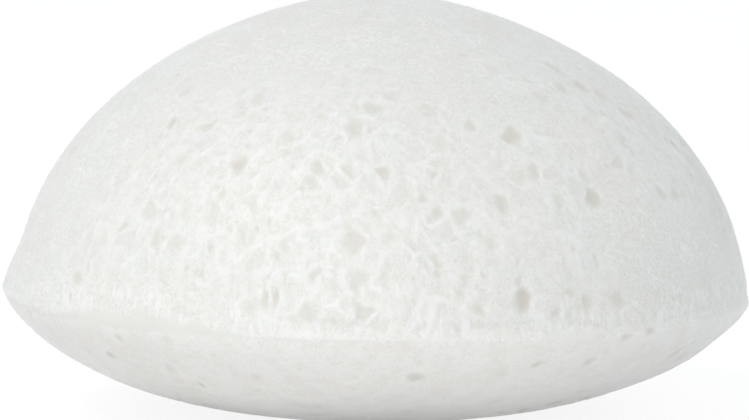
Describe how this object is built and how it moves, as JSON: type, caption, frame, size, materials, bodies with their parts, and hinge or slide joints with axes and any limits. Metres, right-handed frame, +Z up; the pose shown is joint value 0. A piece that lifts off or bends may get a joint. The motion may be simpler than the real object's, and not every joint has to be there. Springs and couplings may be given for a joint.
{
  "type": "konjac sponge",
  "caption": "Half-ball facial sponge of white konjac foam: a low porous dome over a shallow bowl, a thin raised rim between them and a small flat to stand on.",
  "frame": {"origin": "middle of the small flat on the underside that the sponge stands on, which is the bottom centre of its box", "axes": "+Z up through the top of the dome, which is the axis that the body is turned about; +X right and -Y towards the viewer of the picture"},
  "size_m": [0.08, 0.08, 0.045],
  "materials": {
    "konjac_foam": "moist, porous, slightly translucent white konjac gel foam"
  },
  "bodies": {
    "root": {"sponge_body": "konjac_foam"}
  },
  "joints": []
}
